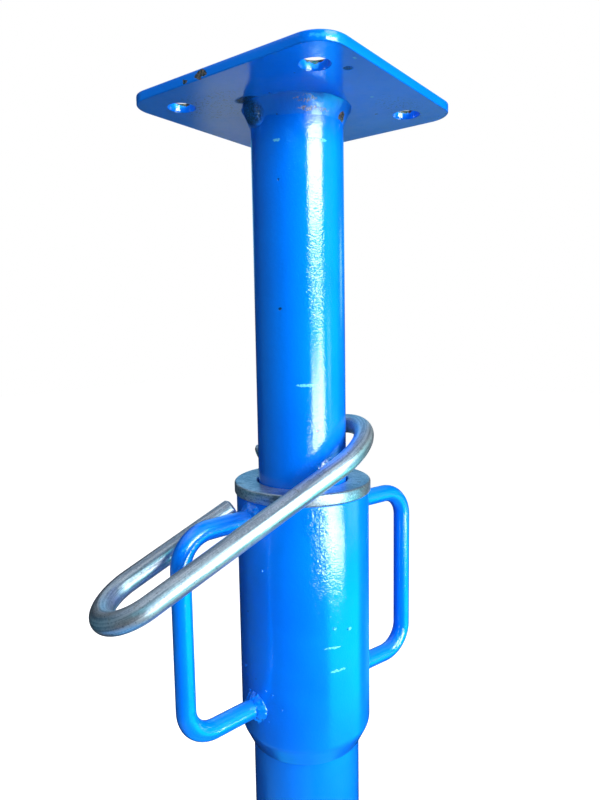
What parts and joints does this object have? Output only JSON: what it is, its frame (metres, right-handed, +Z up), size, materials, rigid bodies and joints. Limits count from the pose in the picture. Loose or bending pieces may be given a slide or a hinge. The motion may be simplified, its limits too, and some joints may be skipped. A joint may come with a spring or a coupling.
{
  "type": "adjustable steel prop",
  "caption": "Telescopic steel prop with square head and foot plates, a long threaded collar with bar handles, a loose washer and a bent locking pin hooked round the inner tube.",
  "frame": {"origin": "centre of the foot plate's underside, on the prop's axis", "axes": "+Z up along the prop's axis, from the foot plate to the head plate; X and Y along the sides of the square plates"},
  "size_m": [0.123, 0.2006, 1.6],
  "materials": {
    "blue_paint": "glossy",
    "galvanised_steel": "galvanised, semi-gloss",
    "bare_steel": "oily, matte"
  },
  "bodies": {
    "outer_post": {"base_plate": "blue_paint", "base_weld": "blue_paint", "outer_tube": "blue_paint", "threaded_head": "bare_steel", "threaded_head_weld": "bare_steel"},
    "washer": {"thrust_washer": "galvanised_steel"},
    "collar": {"collar": "blue_paint", "left_handle": "blue_paint", "right_handle": "blue_paint", "left_handle_top_weld": "blue_paint", "left_handle_bottom_weld": "blue_paint", "right_handle_top_weld": "blue_paint", "right_handle_bottom_weld": "blue_paint"},
    "pin": {"g_pin": "galvanised_steel"},
    "inner_post": {"inner_tube": "blue_paint", "stop_ring": "bare_steel", "stop_ring_weld": "bare_steel", "head_weld": "blue_paint", "head_plate": "blue_paint"}
  },
  "joints": [
    {"name": "collar_rise", "type": "slide", "parent": "outer_post", "child": "washer", "axis": [0, 0, 1], "range_m": [0, 0.1001]},
    {"name": "collar_turn", "type": "hinge", "parent": "washer", "child": "collar", "pos_m": [0, 0, 1.395], "axis": [0, 0, 1], "range_deg": [0, 4500]},
    {"name": "pin_lift", "type": "hinge", "parent": "collar", "child": "pin", "pos_m": [-0.00483, -0.00841, 1.4073], "axis": [-0.8669, 0.4985, 0], "range_deg": [0, 27]},
    {"name": "inner_slide", "type": "slide", "parent": "outer_post", "child": "inner_post", "axis": [0, 0, 1], "range_m": [0, 1.15]}
  ],
  "couplings": [
    {"joint": "collar_rise", "follows": "collar_turn", "m_per_rad": 0.0012732}
  ]
}
